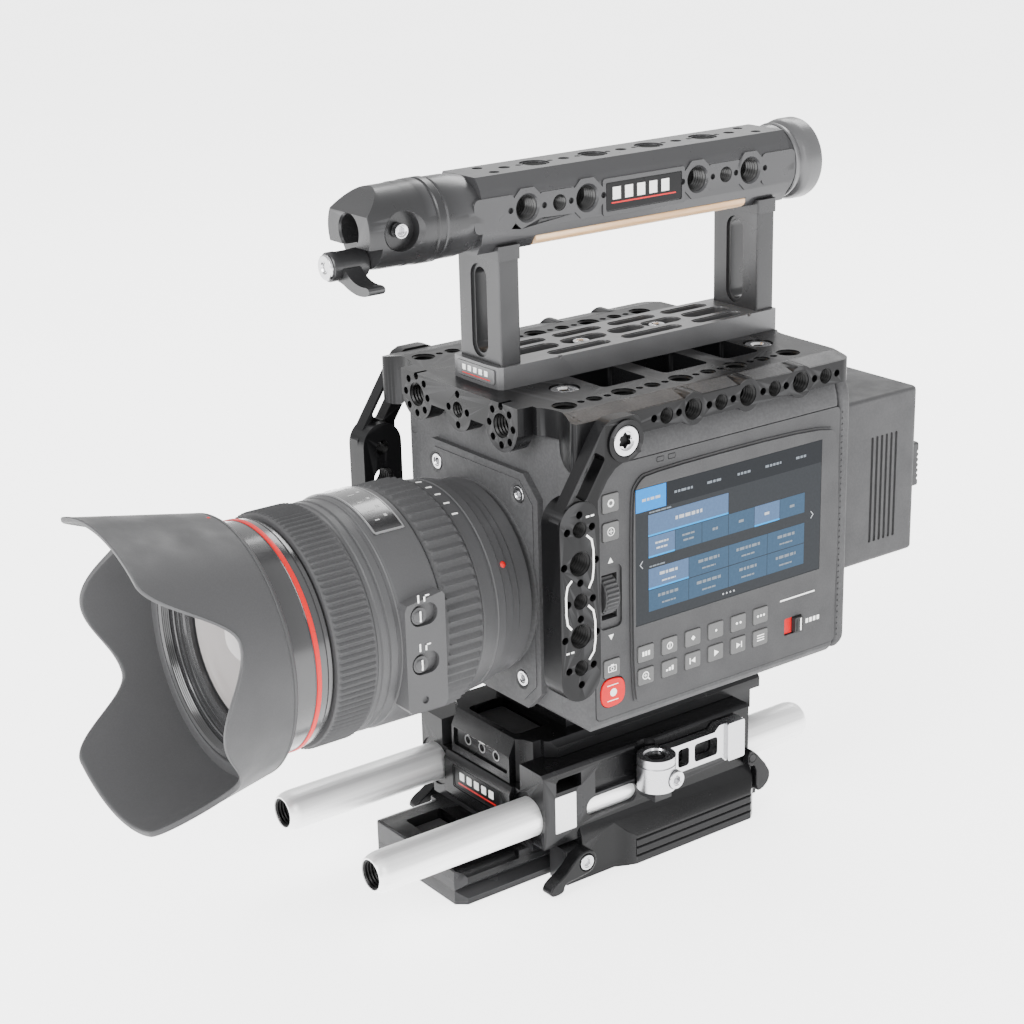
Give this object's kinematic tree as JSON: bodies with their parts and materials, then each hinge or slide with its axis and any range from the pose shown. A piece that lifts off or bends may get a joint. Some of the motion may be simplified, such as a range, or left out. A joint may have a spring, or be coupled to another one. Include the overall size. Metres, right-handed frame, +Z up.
{
  "type": "cinema camera rig",
  "caption": "Box-shaped cinema camera with touch screen, zoom lens and petal hood, held in a cage with a top handle on a rod baseplate.",
  "frame": {"origin": "mouth of the tripod thread in the underside of the baseplate, on the plane the rig stands on", "axes": "+Z up, the lens looks along -Y, +X is the side with the touch screen"},
  "size_m": [0.1304, 0.3342, 0.2618],
  "materials": {
    "anodised_black": "fine bead-blasted black anodising",
    "polished_rod": "polished",
    "bright_metal": "satin machined",
    "screw_steel": "machined",
    "camera_composite": "fine-grained matte",
    "lens_black": "fine-grained satin",
    "ring_rubber": "ribbed matte",
    "key_plastic": "matte",
    "record_red": "matte",
    "screen_face": "glossy, lit menu",
    "lens_glass": "coated",
    "grip_wood": "oiled",
    "board": "satin",
    "fan_plastic": "matte"
  },
  "bodies": {
    "base": {"dovetail_plate": "anodised_black", "bridge_plate": "anodised_black", "side_rail_left": "anodised_black", "side_rail_right": "anodised_black", "rod_clamp_fittings": "bright_metal", "front_blank_plate": "anodised_black"},
    "lock_lever": {"lock_lever": "bright_metal", "lock_lever_screw": "screw_steel"},
    "front_barrel": {"front_barrel": "lens_black", "front_element": "lens_glass"},
    "rod_left": {"rod_left": "polished_rod"},
    "rod_right": {"rod_right": "polished_rod"},
    "rod_lever_left": {"rod_lever_left": "anodised_black"},
    "rod_lever_right": {"rod_lever_right": "anodised_black"},
    "release_tab": {"release_tab": "anodised_black"},
    "keys_column_1": {"keys_column_1": "key_plastic"},
    "keys_column_2": {"keys_column_2": "key_plastic"},
    "keys_column_3": {"keys_column_3": "key_plastic"},
    "keys_column_4": {"keys_column_4": "key_plastic"},
    "keys_column_5": {"keys_column_5": "key_plastic"},
    "keys_column_6": {"keys_column_6": "key_plastic"},
    "record_button": {"record_button": "record_red"},
    "photo_button": {"photo_button": "key_plastic"},
    "focus_button": {"focus_button": "key_plastic"},
    "iris_button": {"iris_button": "key_plastic"},
    "jog_wheel": {"jog_wheel": "ring_rubber"},
    "lock_slider": {"lock_slider": "key_plastic"},
    "cooling_fan": {"cooling_fan": "fan_plastic"},
    "zoom_ring": {"zoom_ring": "ring_rubber"},
    "focus_ring": {"focus_ring": "ring_rubber"},
    "lens_hood": {"lens_hood": "lens_black"},
    "focus_switch": {"focus_switch": "key_plastic"},
    "stabiliser_switch": {"stabiliser_switch": "key_plastic"},
    "handle_lever": {"handle_lever": "bright_metal"},
    "battery": {"battery": "camera_composite"},
    "battery_latch": {"battery_latch": "camera_composite"},
    "carriage": {"cage_arm_left": "anodised_black", "cage_arm_right": "anodised_black", "cage_screws": "screw_steel", "cage_top_plate": "anodised_black", "camera_back_cover": "camera_composite", "camera_body": "camera_composite", "camera_plate": "anodised_black", "camera_side_panel": "camera_composite", "fan_frame": "fan_plastic", "handle_base": "anodised_black", "handle_cap": "anodised_black", "handle_grip": "grip_wood", "handle_head": "anodised_black", "handle_post_front": "anodised_black", "handle_post_rear": "anodised_black", "handle_screws": "screw_steel", "handle_tube": "anodised_black", "image_sensor": "board", "lens_barrel": "lens_black", "lens_mount_plate": "bright_metal", "lens_mount_screws": "screw_steel", "main_board": "board", "rear_element": "lens_glass", "screen": "screen_face"}
  },
  "joints": [
    {"name": "rod_right_slide", "type": "slide", "parent": "base", "child": "rod_right", "axis": [0, 1, 0], "range_m": [-0.06, 0.06]},
    {"name": "rod_right_clamp", "type": "hinge", "parent": "base", "child": "rod_lever_right", "pos_m": [0.0436, -0.032, 0.0106], "axis": [1, 0, 0], "range_deg": [-80, 0]},
    {"name": "rod_left_slide", "type": "slide", "parent": "base", "child": "rod_left", "axis": [0, 1, 0], "range_m": [-0.06, 0.06]},
    {"name": "rod_left_clamp", "type": "hinge", "parent": "base", "child": "rod_lever_left", "pos_m": [-0.0436, -0.032, 0.0106], "axis": [1, 0, 0], "range_deg": [-80, 0]},
    {"name": "lock_lever_swing", "type": "hinge", "parent": "base", "child": "lock_lever", "pos_m": [0.0456, 0.0018, 0.0372], "axis": [0, 0, 1], "range_deg": [-100, 0]},
    {"name": "release_tab_press", "type": "hinge", "parent": "base", "child": "release_tab", "pos_m": [0.0413, 0.0528, 0.0253], "axis": [1, 0, 0], "range_deg": [0, 8], "stiffness_Nm_per_rad": 0.05},
    {"name": "camera_plate_slide", "type": "slide", "parent": "base", "child": "carriage", "axis": [0, 1, 0], "range_m": [-0.015, 0.02]},
    {"name": "keys_column_1_press", "type": "slide", "parent": "carriage", "child": "keys_column_1", "axis": [-1, 0, 0], "range_m": [0, 0.0008], "stiffness_N_per_m": 400},
    {"name": "keys_column_2_press", "type": "slide", "parent": "carriage", "child": "keys_column_2", "axis": [-1, 0, 0], "range_m": [0, 0.0008], "stiffness_N_per_m": 400},
    {"name": "keys_column_3_press", "type": "slide", "parent": "carriage", "child": "keys_column_3", "axis": [-1, 0, 0], "range_m": [0, 0.0008], "stiffness_N_per_m": 400},
    {"name": "keys_column_4_press", "type": "slide", "parent": "carriage", "child": "keys_column_4", "axis": [-1, 0, 0], "range_m": [0, 0.0008], "stiffness_N_per_m": 400},
    {"name": "keys_column_5_press", "type": "slide", "parent": "carriage", "child": "keys_column_5", "axis": [-1, 0, 0], "range_m": [0, 0.0008], "stiffness_N_per_m": 400},
    {"name": "keys_column_6_press", "type": "slide", "parent": "carriage", "child": "keys_column_6", "axis": [-1, 0, 0], "range_m": [0, 0.0008], "stiffness_N_per_m": 400},
    {"name": "record_button_press", "type": "slide", "parent": "carriage", "child": "record_button", "axis": [-1, 0, 0], "range_m": [0, 0.0008], "stiffness_N_per_m": 400},
    {"name": "photo_button_press", "type": "slide", "parent": "carriage", "child": "photo_button", "axis": [-1, 0, 0], "range_m": [0, 0.0008], "stiffness_N_per_m": 400},
    {"name": "focus_button_press", "type": "slide", "parent": "carriage", "child": "focus_button", "axis": [-1, 0, 0], "range_m": [0, 0.0008], "stiffness_N_per_m": 400},
    {"name": "iris_button_press", "type": "slide", "parent": "carriage", "child": "iris_button", "axis": [-1, 0, 0], "range_m": [0, 0.0008], "stiffness_N_per_m": 400},
    {"name": "jog_wheel_turn", "type": "hinge", "parent": "carriage", "child": "jog_wheel", "pos_m": [0.048, -0.026, 0.116], "axis": [0, 1, 0], "continuous": true},
    {"name": "lock_slider_move", "type": "slide", "parent": "carriage", "child": "lock_slider", "axis": [0, 1, 0], "range_m": [-0.004, 0]},
    {"name": "cooling_fan_spin", "type": "hinge", "parent": "carriage", "child": "cooling_fan", "pos_m": [0, 0.045, 0.1135], "axis": [0, 1, 0], "continuous": true},
    {"name": "zoom_turn", "type": "hinge", "parent": "carriage", "child": "zoom_ring", "pos_m": [0, -0.079, 0.1135], "axis": [0, 1, 0], "range_deg": [0, 70]},
    {"name": "front_barrel_extend", "type": "slide", "parent": "carriage", "child": "front_barrel", "axis": [0, -1, 0], "range_m": [0, 0.032]},
    {"name": "focus_turn", "type": "hinge", "parent": "carriage", "child": "focus_ring", "pos_m": [0, -0.122, 0.1135], "axis": [0, 1, 0], "range_deg": [-90, 90]},
    {"name": "hood_turn", "type": "hinge", "parent": "front_barrel", "child": "lens_hood", "pos_m": [0, -0.15, 0.1135], "axis": [0, 1, 0], "range_deg": [0, 60]},
    {"name": "focus_switch_move", "type": "slide", "parent": "carriage", "child": "focus_switch", "axis": [0, 1, 0], "range_m": [0, 0.004]},
    {"name": "stabiliser_switch_move", "type": "slide", "parent": "carriage", "child": "stabiliser_switch", "axis": [0, 1, 0], "range_m": [0, 0.004]},
    {"name": "handle_lever_turn", "type": "hinge", "parent": "carriage", "child": "handle_lever", "pos_m": [0, -0.095, 0.2356], "axis": [0, 1, 0], "range_deg": [0, 90]},
    {"name": "battery_lift", "type": "slide", "parent": "carriage", "child": "battery", "axis": [0, 0, 1], "range_m": [0, 0.03]},
    {"name": "battery_latch_press", "type": "slide", "parent": "battery", "child": "battery_latch", "axis": [0, -1, 0], "range_m": [0, 0.0014], "stiffness_N_per_m": 500}
  ],
  "couplings": [
    {"joint": "front_barrel_extend", "follows": "zoom_turn", "m_per_rad": 0.02619}
  ]
}
